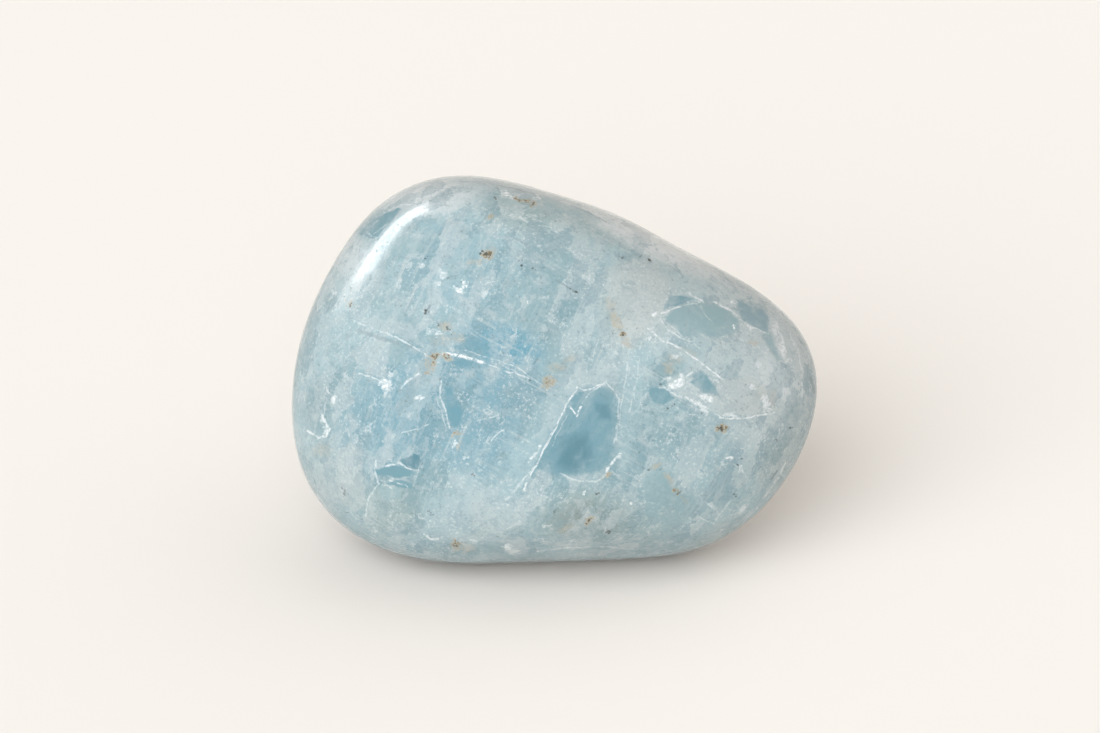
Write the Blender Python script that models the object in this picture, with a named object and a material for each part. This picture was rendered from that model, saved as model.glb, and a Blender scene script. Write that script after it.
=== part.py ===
"""A tumbled and polished aquamarine pebble, 40 mm long, resting on its narrow lower side.

The stone is one solid. It is built in its own leaning frame, where X runs along its length, Y across
its broad outline and Z out of its broad front face, and is then leant back onto a small worn flat.
"""

import math

import bmesh
import bpy
import numpy as np
from mathutils import Matrix, Vector, noise

MM = 0.001

# Radius of the broad outline every 22.5 degrees, anticlockwise from the narrow end, seen from the front.
OUTLINE_RADII = np.array(
    [20.4, 17.0, 13.55, 12.85, 13.55, 16.2, 18.4, 18.75,
     19.7, 20.5, 18.9, 15.75, 14.55, 15.55, 18.2, 20.3]
) * MM
FRONT_BULGE = 13.2 * MM  # from the outline's plane to the front face, before it is worn
BACK_BULGE = 12.6 * MM  # the same for the back face
LEAN = math.radians(25)  # how far the broad outline leans back from upright
REST_WEAR = 0.55 * MM  # how much is worn off the lowest point, which leaves the flat it rests on
CUBE_SIDE = 2.0  # of the cube that the stone is rounded from, which is a sphere of radius 1 on the way
GRID = 20  # squares along each side of that cube

# Broad faces worn on the stone: direction of the face, its distance from the middle, width of its rounding.
WORN_FACES = (
    ((0.06, 0.10, 1.00), 11.2 * MM, 5.5 * MM),  # front
    ((-0.10, 0.05, -1.00), 10.8 * MM, 5.0 * MM),  # back
    ((0.45, 0.66, 0.62), 13.6 * MM, 4.0 * MM),  # the slope from the crown to the narrow end
    ((-0.62, 0.15, 0.75), 16.2 * MM, 4.5 * MM),  # front of the blunt end
    ((0.25, 0.75, -0.60), 13.4 * MM, 4.0 * MM),  # back of the crown
    ((0.70, -0.30, -0.65), 16.0 * MM, 4.5 * MM),  # back of the narrow end
)

# A shallow scoop where the lower front edge dips: its middle, its reach and its depth.
SCOOP_CENTRE = Vector((7.2, -14.3, 4.5)) * MM
SCOOP_REACH = 3.6 * MM
SCOOP_DEPTH = 0.4 * MM

SWELL_HEIGHT = 0.28 * MM  # gentle unevenness left by tumbling
SWELL_LENGTH = 10.5 * MM
FLAT_TOLERANCE = 1e-5 * MM  # how near a point may lie to the flat without being cut
SHARP_EDGE = math.radians(30)  # edges bent more than this, which is only the flat's rim, look sharp

AQUA = (0.40, 0.60, 0.68, 1.0)
POLISH = 0.08  # roughness of the polished surface
BERYL_IOR = 1.577


def clear_scene():
    """Removes whatever objects the scene holds."""
    for obj in list(bpy.data.objects):
        bpy.data.objects.remove(obj, do_unlink=True)


def outline_radius(angles):
    """The outline's radius at each angle: the one smooth wave that runs through all of OUTLINE_RADII."""
    waves = np.fft.rfft(OUTLINE_RADII) / len(OUTLINE_RADII)
    radius = np.full_like(angles, waves[0].real)
    for number, wave in enumerate(waves[1:-1], start=1):
        radius += 2 * (wave * np.exp(1j * number * angles)).real
    return radius + (waves[-1] * np.exp(1j * (len(waves) - 1) * angles)).real


def round_to_outline(directions):
    """Carries points of a unit sphere onto the unworn stone. Sections near the rim follow the outline, and
    towards the front and back they turn into circles, so that the faces have no point in their middle."""
    across = np.hypot(directions[:, 0], directions[:, 1])
    angles = np.arctan2(directions[:, 1], directions[:, 0])
    mean_radius = OUTLINE_RADII.mean()
    radius = across * (mean_radius + (outline_radius(angles) - mean_radius) * across**2)
    bulge = np.where(directions[:, 2] > 0, FRONT_BULGE, BACK_BULGE)
    return np.column_stack((radius * np.cos(angles), radius * np.sin(angles), directions[:, 2] * bulge))


def wear(points, facing, distance, rounding):
    """Flattens what stands out past a plane, with a soft edge of the given width."""
    normal = np.array(Vector(facing).normalized())
    past = points @ normal - distance + rounding
    worn = rounding * np.tanh(np.maximum(past, 0) / rounding)
    return points + np.outer(worn - np.maximum(past, 0), normal)


def scoop(points):
    """Presses the shallow scoop into the lower front edge."""
    centre = np.array(SCOOP_CENTRE)
    inward = -centre / np.linalg.norm(centre)
    near = np.exp(-((np.linalg.norm(points - centre, axis=1) / SCOOP_REACH) ** 2))
    return points + SCOOP_DEPTH * np.outer(near, inward)


def swell(points):
    """Moves each point a little in or out, along its direction from the middle."""
    outward = points / np.linalg.norm(points, axis=1)[:, None]
    heights = np.array([noise.noise(Vector(p) / SWELL_LENGTH) for p in points])
    return points + SWELL_HEIGHT * heights[:, None] * outward


def add_stone(collection):
    """The whole stone, standing on its worn flat with the middle of its base at the origin."""
    shape = bmesh.new()
    bmesh.ops.create_cube(shape, size=CUBE_SIDE)
    bmesh.ops.subdivide_edges(shape, edges=shape.edges[:], cuts=GRID - 1, use_grid_fill=True)
    # The tangent spaces the squares evenly once the cube is a sphere.
    corners = np.array([v.co for v in shape.verts])
    directions = np.tan(corners * math.pi / 4)
    directions /= np.linalg.norm(directions, axis=1)[:, None]

    points = round_to_outline(directions)
    for facing, distance, rounding in WORN_FACES:
        points = wear(points, facing, distance, rounding)
    points = swell(scoop(points))
    for vertex, place in zip(shape.verts, points):
        vertex.co = place

    # The leaning frame's Z comes forward, to -Y, and its top tips back.
    bmesh.ops.transform(shape, matrix=Matrix.Rotation(math.pi / 2 - LEAN, 4, "X"), verts=shape.verts)
    rest_level = min(v.co.z for v in shape.verts) + REST_WEAR
    cut = bmesh.ops.bisect_plane(
        shape,
        geom=shape.verts[:] + shape.edges[:] + shape.faces[:],
        plane_co=(0, 0, rest_level),
        plane_no=(0, 0, -1),
        clear_outer=True,
        dist=FLAT_TOLERANCE,
    )
    rim = [edge for edge in cut["geom_cut"] if isinstance(edge, bmesh.types.BMEdge)]
    bmesh.ops.contextual_create(shape, geom=rim)
    bmesh.ops.recalc_face_normals(shape, faces=shape.faces)

    low = Vector(min(v.co[axis] for v in shape.verts) for axis in range(3))
    high = Vector(max(v.co[axis] for v in shape.verts) for axis in range(3))
    base_middle = Vector(((low.x + high.x) / 2, (low.y + high.y) / 2, low.z))
    bmesh.ops.translate(shape, vec=-base_middle, verts=shape.verts)

    mesh = bpy.data.meshes.new("aquamarine")
    shape.to_mesh(mesh)
    shape.free()
    mesh.shade_smooth()
    mesh.set_sharp_from_angle(angle=SHARP_EDGE)
    mesh.materials.append(polished_aquamarine())
    stone = bpy.data.objects.new("aquamarine", mesh)
    collection.objects.link(stone)
    return stone


def polished_aquamarine():
    """Cloudy pale blue beryl with a gloss polish."""
    material = bpy.data.materials.new("polished_aquamarine")
    material.use_nodes = True
    surface = material.node_tree.nodes["Principled BSDF"]
    surface.inputs["Base Color"].default_value = AQUA
    surface.inputs["Roughness"].default_value = POLISH
    surface.inputs["Metallic"].default_value = 0.0
    surface.inputs["IOR"].default_value = BERYL_IOR
    return material


def build():
    clear_scene()
    collection = bpy.data.collections.new("aquamarine_pebble")
    bpy.context.scene.collection.children.link(collection)
    add_stone(collection)


build()
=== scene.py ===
"""Looks of the tumbled aquamarine pebble: its cloudy, flawed blue body under a gloss polish."""

import math

import bmesh
import bpy
from mathutils import Matrix, Vector


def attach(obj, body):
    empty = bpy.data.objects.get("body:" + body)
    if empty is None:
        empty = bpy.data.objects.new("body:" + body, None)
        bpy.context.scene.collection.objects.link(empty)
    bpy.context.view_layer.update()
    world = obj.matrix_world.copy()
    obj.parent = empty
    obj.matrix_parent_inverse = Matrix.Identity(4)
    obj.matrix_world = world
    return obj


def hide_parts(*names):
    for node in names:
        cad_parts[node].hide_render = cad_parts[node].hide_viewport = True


MM = 0.001

# The camera: where it looks, from how far and how high, and through which lens.
PHOTO_WIDTH = 1100
PHOTO_HEIGHT = 733
LENS = 100.0
SENSOR_WIDTH = 36.0
CAMERA_TARGET = Vector((-0.305, 0.129, 14.78)) * MM
CAMERA_DISTANCE = 233 * MM
CAMERA_ELEVATION = math.radians(25)
CLIP_START = 10 * MM
TOWARDS_CAMERA = Vector((0, -math.cos(CAMERA_ELEVATION), math.sin(CAMERA_ELEVATION)))
CAMERA_RIGHT = Vector((1, 0, 0))
CAMERA_UP = Vector((0, math.sin(CAMERA_ELEVATION), math.cos(CAMERA_ELEVATION)))
CAMERA_PLACE = CAMERA_TARGET + CAMERA_DISTANCE * TOWARDS_CAMERA
PIXELS_PER_SLOPE = PHOTO_WIDTH * LENS / SENSOR_WIDTH

# The studio's light: a dim warm room, a wide soft glow in front on the left, and a weaker fill above and
# behind on the right. The polish mirrors a plainer room than the one that lights the stone.
ROOM_LIGHT = 0.38
ROOM_TINT = (1.0, 0.93, 0.86, 1.0)
GLOW_LIGHT = 5.0
GLOW_TINT = (0.965, 0.985, 1.0, 1.0)
GLOW_DIRECTION = Vector((-0.41, -0.84, 0.46))
GLOW_REACH = math.radians(46)
FILL_LIGHT = 0.55
FILL_DIRECTION = Vector((0.55, 0.30, 0.75))
FILL_REACH = math.radians(62)
MIRRORED_ROOM = 0.9
MIRRORED_GLOW = 1.0

# Two lamps that show in the polish as one long highlight with a soft edge: name, width and height in
# millimetres, power in watts.
STRIPS = (
    ("strip", 90, 270, 0.62),
    ("strip_edge", 150, 330, 0.30),
)
STRIP_DIRECTION = Vector((-0.735, 0.375, 0.565))
STRIP_TILT = Vector((0.51, 0.26, 0.47))
STRIP_DISTANCE = 400 * MM

FLOOR_HALF = 1500 * MM
FLOOR_PAPER = (0.85, 0.838, 0.815, 1.0)

# How the CAD skin is made finer: points this close are one, the rest face looks down by at least this much,
# triangles join into squares up to these angles, and the skin is then divided this many times.
SAME_POINT = 0.001 * MM
FLAT_FACING = -0.999
SQUARE_BEND = math.radians(40)
SQUARE_SKEW = math.radians(60)
SKIN_LEVELS = 2

# The stone's finish.
BERYL_IOR = 1.577
POLISH_ROUGHNESS = 0.08
WORN_ROUGHNESS = 0.16
PIT_DEPTH = 0.03 * MM
CLEARNESS = 0.25  # how much of the light goes through the skin instead of coming back from the clouds in it
BODY_TINT = (0.72, 0.83, 0.85, 1.0)
BODY_DENSITY = 90.0  # per metre

# The stone's tones, as they look on screen.
MILK = (205, 216, 219)
HAZE = (176, 203, 210)
GLOW = (94, 164, 188)
DUSK = (148, 180, 188)
SLATE = (142, 172, 179)
DEEP = (108, 150, 163)
INK = (82, 128, 144)
SAGE = (168, 184, 182)
SAND = (202, 210, 210)
TEAL = (100, 148, 164)
LAKE = (132, 175, 190)
IRON = (180, 172, 150)
IRON_HEART = (96, 82, 52)
PEPPER = (96, 112, 112)
GRAIN = (62, 70, 70)
SEAM = (120, 140, 146)
WHITE = (238, 244, 247)

# The plainer, greyer body that light meets once it has bounced. It is darker than the body seen in front:
# painted shade that deepens the stone's shadow on the floor.
INNER_SHADE_DUSK = (126, 129, 126)
INNER_SHADE_HAZE = (148, 149, 145)

# By how much the red, green and blue of the body are deepened, before windows, cracks, stains and grains.
TONE_DEPTH = (0.81, 0.83, 0.84)

# The broadest pattern: its scale, and the noise at which it is all dusk and all haze.
BROAD_SCALE = 0.11
BROAD_DUSK = 0.36
BROAD_HAZE = 0.60

# Which way the stone's grain runs, as seen in front, in degrees from level.
SPLINTERS_RISE = 62
FIBRES_RISE = 65
FIBRES_FALL = -30

# The front of the stone starts where a point's distance towards the camera passes these, in millimetres.
FRONT_START = 3.0
FRONT_FULL = 6.5

# Where marks end, in their own half sizes: a cloud where the square of the distance is CLOUD_FADE, and a
# line, which is full up to LINE_CORE, at LINE_EDGE.
CLOUD_FADE = 1.5
LINE_CORE = 0.4
LINE_EDGE = 1.5

# How far placed marks are carried off, in parts of the reach that is asked for.
WANDER_SWING = 2.6
CHIP_SWING = 2.0

# How deep a drawn-out pattern is, in widths.
DRAWN_DEPTH = 1.5

# Kinds of node sockets.
VALUE = "NodeSocketFloat"
VECTOR = "NodeSocketVector"
COLOUR = "NodeSocketColor"

# The flaws on the broad front are placed by the photo's pixels, and are carried onto the stone along
# straight lines from the point where the photo was taken.
#
# Clouds: middle, half width and half height, turn in degrees, colour, strength. Some of them are painted
# light: a highlight on the crown, lighter rims and sides, and darker shade along the bottom.
CLOUDS = (
    # These three are partly the stone's milky clouds and partly painted light that lifts the right end and
    # the slope up to the crown, which face away from the glow.
    ((765, 340), (66, 80), -30, MILK, 0.8),
    ((690, 240), (80, 30), 28, MILK, 0.6),
    ((785, 430), (40, 70), 10, MILK, 0.4),
    ((450, 400), (110, 70), 0, LAKE, 0.95),
    ((520, 440), (80, 60), 60, LAKE, 0.85),
    ((400, 500), (90, 50), 20, DUSK, 0.8),
    ((590, 500), (90, 40), 0, DUSK, 0.85),
    ((460, 270), (80, 50), 20, LAKE, 0.5),
    ((500, 345), (46, 24), 8, GLOW, 0.85),
    ((640, 300), (46, 44), -50, SAND, 0.75),
    ((680, 255), (44, 18), 28, SAND, 0.7),
    ((622, 330), (26, 22), 0, SAND, 0.5),
    ((600, 225), (70, 16), 22, SAGE, 0.5),
    ((520, 215), (44, 18), 10, SAGE, 0.5),
    ((550, 199), (90, 12), 17, MILK, 0.5),
    ((340, 470), (36, 46), 25, SAND, 0.55),
    ((378, 440), (50, 44), 20, LAKE, 0.7),
    ((319, 404), (17, 32), 6, SLATE, 0.8),
    ((455, 408), (18, 30), -15, DEEP, 0.75),
    ((392, 510), (34, 34), 0, SAGE, 0.6),
    ((480, 515), (60, 28), -8, MILK, 0.6),
    ((520, 455), (22, 60), 24, HAZE, 0.5),
    ((590, 520), (56, 34), 0, SAGE, 0.85),
    ((665, 500), (34, 24), -15, SLATE, 0.75),
    ((782, 440), (22, 60), 14, SAGE, 0.7),
    # Painted glint at the right end.
    ((780, 376), (26, 30), 0, WHITE, 0.85),
    # Painted highlight: the bright top of the crown, where the polish mirrors the lamps.
    ((425, 197), (60, 20), -6, WHITE, 0.9),
    # Painted light: lifts the slope from the crown down to the narrow end, which the glow hardly reaches.
    ((645, 236), (84, 18), 28, WHITE, 1.0),
    # Painted reflection: a pale sheen along the right rim.
    ((812, 360), (30, 70), -8, MILK, 0.9),
    ((700, 262), (60, 10), 28, WHITE, 0.35),
    ((352, 258), (22, 40), -40, WHITE, 0.6),
    # These two are partly milky clouds and partly painted light that lifts the right end.
    ((745, 300), (60, 30), 40, MILK, 0.5),
    ((760, 425), (40, 26), -20, MILK, 0.7),
    ((590, 522), (40, 22), 0, PEPPER, 0.42),
    ((812, 388), (7, 26), 0, SLATE, 0.7),
    # Painted shade: darker along the bottom edge, where it turns under to the floor.
    ((640, 538), (60, 20), 0, SLATE, 0.4),
    ((460, 390), (46, 76), 0, LAKE, 0.8),
    ((745, 395), (36, 26), 20, SAND, 0.6),
    ((700, 395), (34, 18), 35, MILK, 0.5),
    # Painted shade: darker bands along the bottom edge, where it turns under to the floor.
    ((640, 545), (120, 12), 0, SLATE, 0.5),
    ((460, 550), (80, 9), 0, SLATE, 0.5),
    ((720, 535), (40, 12), -28, SAGE, 0.5),
)

# Clear windows, through which the deeper blue shows: corners, colour, strength, softness of the edge.
WINDOWS = (
    (((577, 388), (600, 384), (614, 391), (620, 404), (617, 432), (608, 464), (590, 474), (552, 474),
      (535, 468)), DEEP, 0.62, 6),
    (((575, 402), (600, 394), (612, 404), (610, 436), (598, 466), (560, 472), (546, 462)), TEAL, 0.6, 22),
    (((571, 406), (577, 392), (590, 392), (580, 402), (577, 412)), TEAL, 0.7, 2),
    (((400, 461), (412, 456), (420, 457), (417, 470), (406, 467)), INK, 0.85, 3),
    (((375, 470), (386, 466), (402, 467), (417, 472), (414, 481), (402, 478), (388, 481), (379, 478)),
     DEEP, 1.0, 3),
    (((386, 481), (397, 480), (411, 485), (410, 490), (396, 488)), DEEP, 0.75, 2),
    (((378, 483), (400, 490), (402, 500), (388, 502), (380, 495)), SLATE, 0.5, 3),
    (((444, 386), (452, 390), (460, 408), (463, 422), (456, 429), (448, 418), (444, 402)),
     TEAL, 0.9, 5),
    (((434, 420), (446, 418), (452, 430), (446, 438), (436, 432)), DEEP, 0.6, 3),
    (((663, 315), (668, 299), (680, 295), (699, 301), (680, 306)), DEEP, 0.8, 2),
    (((664, 318), (681, 307), (701, 303), (714, 303), (737, 317), (738, 330), (720, 336), (684, 334)),
     SLATE, 0.85, 4),
    (((738, 299), (747, 303), (760, 308), (770, 319), (768, 331), (756, 328), (742, 318)),
     DEEP, 0.6, 3),
    (((762, 332), (770, 330), (776, 345), (782, 360), (776, 362), (766, 346)), SLATE, 0.6, 4),
    (((360, 233), (371, 220), (385, 212), (399, 208), (390, 221), (378, 237), (370, 239)),
     DEEP, 0.85, 2),
    (((388, 246), (398, 236), (420, 240), (424, 252), (404, 258), (392, 254)), SLATE, 0.6, 5),
    (((647, 390), (656, 385), (668, 388), (674, 400), (662, 405), (652, 401)), DEEP, 0.8, 2),
    (((689, 384), (698, 370), (706, 374), (714, 384), (721, 398), (704, 394)), DEEP, 0.7, 3),
    (((641, 484), (650, 474), (668, 478), (682, 492), (690, 512), (670, 530), (650, 520)),
     SLATE, 0.5, 8),
    (((564, 440), (588, 434), (592, 458), (576, 472), (558, 464)), INK, 0.75, 14),
    (((596, 403), (612, 404), (612, 419), (598, 418)), INK, 0.6, 8),
    (((676, 312), (696, 307), (702, 318), (686, 326)), DEEP, 0.35, 8),
    (((389, 344), (398, 341), (408, 346), (404, 356), (396, 366), (388, 362)), SLATE, 0.6, 2),
    (((452, 359), (462, 357), (472, 362), (470, 366), (458, 366)), TEAL, 0.7, 2),
    (((462, 342), (470, 338), (486, 343), (490, 349), (480, 353), (468, 350)), TEAL, 0.6, 3),
    (((480, 424), (490, 416), (502, 420), (500, 430), (488, 436)), DEEP, 0.5, 4),
    # Painted shade: a darker band along the top rim.
    (((540, 196), (566, 203), (590, 212), (600, 222), (570, 216), (546, 208)), SLATE, 0.5, 5),
)

# Pale plates, the faces of healed cracks: corners, colour, strength, softness of the edge.
PLATES = (
    (((362, 341), (384, 338), (389, 346), (386, 378), (366, 373), (350, 356)), MILK, 0.4, 2),
    (((380, 340), (390, 345), (388, 372), (381, 378)), MILK, 0.4, 2),
    (((356, 316), (410, 324), (424, 345), (400, 338), (364, 326)), MILK, 0.35, 4),
    (((577, 390), (541, 455), (523, 488), (498, 500), (512, 452), (540, 400), (562, 386)),
     HAZE, 0.45, 5),
    (((622, 345), (645, 352), (640, 420), (626, 470), (612, 476), (620, 420)), HAZE, 0.45, 4),
    (((650, 332), (682, 346), (722, 378), (704, 372), (672, 356)), MILK, 0.4, 2),
    (((664, 387), (690, 400), (722, 418), (700, 384), (680, 374)), MILK, 0.45, 3),
    (((722, 418), (772, 414), (778, 392), (750, 378), (716, 380), (706, 396)), SAND, 0.45, 3),
    (((768, 320), (778, 318), (792, 345), (796, 366), (784, 362)), MILK, 0.6, 2),
    (((606, 268), (650, 256), (668, 290), (660, 318), (636, 338), (612, 320)), SAND, 0.35, 8),
    (((368, 440), (376, 470), (380, 486), (366, 502), (368, 522), (340, 505), (336, 450)),
     SAND, 0.35, 3),
    (((506, 540), (520, 538), (530, 548), (516, 556), (504, 552)), MILK, 0.5, 3),
    (((696, 502), (730, 500), (726, 514), (712, 524), (700, 520)), HAZE, 0.4, 3),
    (((420, 498), (470, 494), (470, 536), (424, 534)), HAZE, 0.4, 5),
)

# Cracks seen as bright lines, with a few painted reflections among them: points along each, width in pixels,
# strength.
CRACKS = (
    (((354, 321), (372, 328), (400, 339), (418, 350), (428, 356)), 1.6, 0.6),
    (((444, 353), (462, 356), (482, 362)), 3.0, 1.0),
    (((482, 362), (500, 369), (532, 379)), 1.4, 0.6),
    (((466, 350), (480, 355), (500, 361), (520, 369), (548, 390)), 1.3, 0.45),
    (((500, 363), (524, 378)), 1.2, 0.4),
    (((578, 388), (568, 402), (556, 428), (541, 456), (530, 476), (524, 490)), 1.7, 0.85),
    (((552, 432), (538, 462), (520, 484)), 1.3, 0.55),
    (((541, 446), (530, 462)), 2.6, 0.5),
    (((522, 482), (508, 498)), 3.0, 0.4),
    (((569, 407), (577, 415), (581, 407)), 1.8, 0.95),
    (((582, 403), (588, 394), (600, 387)), 1.3, 0.7),
    (((577, 388), (584, 391), (592, 389), (600, 385), (606, 381)), 1.8, 0.8),
    (((606, 382), (614, 390), (619, 400), (618, 420), (614, 444)), 1.5, 0.4),
    (((606, 474), (611, 464), (620, 454)), 2.6, 0.85),
    (((560, 474), (578, 481), (596, 481), (606, 475)), 2.0, 0.45),
    (((635, 386), (632, 398), (630, 412)), 1.5, 0.35),
    (((598, 340), (592, 360)), 1.6, 0.35),
    (((648, 329), (662, 340), (684, 350), (702, 363), (722, 379)), 1.7, 0.85),
    (((660, 319), (668, 330), (684, 339)), 1.3, 0.6),
    (((672, 327), (684, 337), (700, 348)), 1.2, 0.35),
    (((661, 314), (672, 310), (681, 306)), 1.4, 0.7),
    (((681, 306), (700, 302)), 1.3, 0.45),
    (((687, 292), (699, 299), (703, 302)), 2.0, 0.6),
    (((714, 302), (726, 308), (737, 315)), 1.8, 0.85),
    (((740, 319), (750, 326), (760, 330), (768, 334)), 1.4, 0.7),
    (((701, 306), (706, 316), (712, 322)), 1.0, 0.4),
    (((664, 387), (676, 394), (692, 401)), 2.4, 0.6),
    (((700, 404), (712, 412), (722, 418)), 1.5, 0.5),
    (((720, 418), (738, 419), (756, 416), (774, 413)), 1.5, 0.75),
    (((441, 381), (440, 398), (446, 410), (449, 428)), 1.6, 0.6),
    (((436, 398), (442, 412), (446, 430)), 1.1, 0.35),
    (((402, 387), (408, 381), (418, 374)), 2.0, 0.7),
    (((360, 374), (372, 377), (381, 382)), 1.6, 0.7),
    (((325, 384), (328, 392), (336, 397), (334, 402)), 2.0, 0.6),
    (((322, 414), (325, 422), (329, 429), (326, 436), (318, 438), (308, 431)), 2.2, 0.8),
    (((326, 402), (324, 414)), 1.6, 0.35),
    (((376, 461), (375, 472), (378, 483)), 1.8, 0.6),
    (((379, 484), (372, 493), (367, 504), (366, 516)), 1.6, 0.5),
    (((386, 466), (400, 463), (407, 468), (418, 471)), 1.5, 0.7),
    (((388, 480), (400, 484), (408, 487)), 1.2, 0.6),
    (((380, 480), (392, 488)), 1.1, 0.35),
    (((420, 458), (418, 470), (415, 484)), 1.0, 0.35),
    (((402, 433), (420, 428), (430, 424)), 1.3, 0.4),
    (((481, 420), (492, 417), (498, 415)), 1.6, 0.45),
    (((492, 440), (498, 434), (504, 430)), 1.6, 0.5),
    # Painted reflection: the floor mirrored as a bright line along the bottom.
    (((536, 552), (556, 549), (580, 547), (610, 547), (634, 550)), 1.3, 0.45),
    (((740, 340), (752, 342)), 1.2, 0.3),
    # Painted glint near the bottom.
    (((424, 534), (430, 538), (438, 539)), 2.0, 0.7),
    (((366, 232), (376, 238)), 2.0, 0.5),
    (((384, 213), (398, 206), (412, 204)), 1.5, 0.5),
    (((366, 229), (378, 221)), 1.0, 0.4),
    (((374, 234), (386, 224)), 1.0, 0.4),
    (((520, 217), (528, 222)), 2.2, 0.4),
    (((538, 226), (552, 227), (562, 236)), 1.4, 0.35),
    (((555, 199), (572, 205)), 1.2, 0.4),
    # Painted reflections: pale streaks along the right end's edge, mirrored inside the stone.
    (((775, 322), (782, 338), (786, 352)), 2.6, 0.6),
    (((790, 334), (798, 352), (803, 372), (802, 396)), 2.2, 0.4),
    (((808, 350), (810, 368)), 1.4, 0.3),
    (((786, 463), (778, 478)), 1.6, 0.55),
    (((776, 480), (764, 498)), 1.6, 0.35),
    (((748, 503), (740, 514)), 2.4, 0.5),
    (((730, 501), (716, 520)), 1.6, 0.4),
    (((698, 516), (714, 524)), 1.6, 0.4),
    (((706, 502), (722, 516)), 1.2, 0.3),
    (((568, 414), (552, 446)), 1.0, 0.3),
    (((629, 352), (624, 392), (616, 440)), 1.4, 0.35),
    (((640, 358), (634, 400)), 1.2, 0.3),
    (((720, 462), (742, 466)), 1.4, 0.3),
    (((742, 468), (746, 476)), 1.8, 0.5),
)

# Dark thin lines, three of them painted shade along the top rim: points along each, width in pixels,
# strength.
SEAMS = (
    (((360, 331), (380, 338), (398, 343)), 4.0, 0.35),
    (((408, 346), (424, 354)), 1.6, 0.4),
    (((556, 280), (570, 288), (578, 292)), 1.6, 0.6),
    (((514, 238), (528, 245)), 1.6, 0.4),
    # Painted shade: these three lines darken the top rim.
    (((500, 186), (520, 190), (540, 196)), 1.6, 0.45),
    (((570, 205), (590, 213), (606, 222)), 1.6, 0.35),
    (((460, 181), (482, 182)), 1.4, 0.35),
    (((700, 470), (706, 476)), 1.0, 0.4),
    (((811, 378), (814, 392)), 2.6, 0.5),
    (((771, 480), (777, 471)), 1.8, 0.8),
    (((430, 306), (425, 313)), 2.4, 0.75),
)

# Painted glints, bright spots that stand in for small crack faces mirroring the light: middle, half sizes,
# turn, strength.
PAINTED_GLINTS = (
    ((443, 274), (6, 4), 20, 0.7),
    ((439, 283), (4, 3), -40, 0.7),
    ((459, 290), (9, 3), 20, 0.95),
    ((464, 284), (3, 5), 10, 0.95),
    ((422, 266), (3, 2.5), 0, 0.8),
    ((385, 384), (5.5, 6), 15, 1.0),
    ((391, 375), (3, 4), 30, 0.7),
    ((386, 393), (2, 4), 0, 0.5),
    ((334, 399), (2.5, 4), 20, 0.8),
    ((326, 430), (3, 5), 25, 0.85),
    ((322, 420), (2, 3), 0, 0.7),
    ((420, 398), (5, 2), -15, 0.7),
    ((506, 194), (6, 3), 20, 0.95),
    ((513, 198), (3, 2), 0, 0.6),
    ((537, 197), (5, 1.8), -8, 0.7),
    ((677, 384), (9, 4), -18, 0.95),
    ((682, 377), (4, 2.5), 30, 0.6),
    ((668, 379), (6, 2), -15, 0.6),
    ((706, 398), (7, 3), 25, 0.9),
    ((697, 402), (5, 2.2), 20, 0.75),
    ((690, 374), (5, 1.6), -40, 0.6),
    ((702, 408), (6, 2.4), 30, 0.6),
    ((729, 415), (8, 2.6), 5, 0.65),
    ((735, 327), (1.3, 2.4), 0, 0.9),
    ((752, 329), (1.4, 3), 0, 0.9),
    ((733, 301), (2.2, 2), 30, 0.9),
    ((700, 302), (2.6, 2), 0, 0.8),
    ((782, 350), (2.6, 8), -18, 0.75),
    ((788, 361), (3, 3), 0, 0.7),
    ((776, 330), (2.4, 7), -14, 0.6),
    ((766, 402), (4, 6), -10, 0.7),
    ((767, 411), (5, 2), 0, 0.6),
    ((752, 386), (3, 3), 20, 0.6),
    ((758, 364), (4, 3), 60, 0.5),
    ((655, 314), (2.4, 2), 0, 0.8),
    ((730, 457), (5, 2.4), -5, 0.85),
    ((724, 464), (3, 1.6), 20, 0.5),
    ((740, 469), (2, 3), 0, 0.5),
    ((507, 547), (4, 3), 20, 0.8),
    ((514, 551), (6, 3), 0, 0.5),
    ((473, 541), (4, 2), 20, 0.6),
    ((547, 526), (5, 1.8), 0, 0.6),
    ((584, 492), (3, 2), -10, 0.8),
    ((630, 503), (1.6, 1.6), 0, 0.8),
    ((527, 303), (1.8, 1), -10, 0.8),
    ((484, 294), (3, 5), 20, 0.45),
    ((541, 447), (2, 2), 0, 0.9),
    ((531, 457), (2.6, 2), 0, 0.8),
    ((619, 455), (1.8, 2), 0, 0.9),
    ((455, 444), (2, 4), 10, 0.7),
    ((466, 457), (2.4, 1.6), 0, 0.5),
    ((334, 293), (1.8, 3), 15, 0.6),
    ((331, 298), (4, 1.4), -30, 0.4),
    ((430, 332), (4, 3), -30, 0.5),
    ((438, 334), (3, 2), 0, 0.6),
    ((649, 338), (1.6, 2), 0, 0.7),
    ((676, 356), (6, 2), -15, 0.5),
    ((743, 508), (2, 6), 35, 0.6),
    ((712, 506), (5, 2), 30, 0.5),
)

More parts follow.
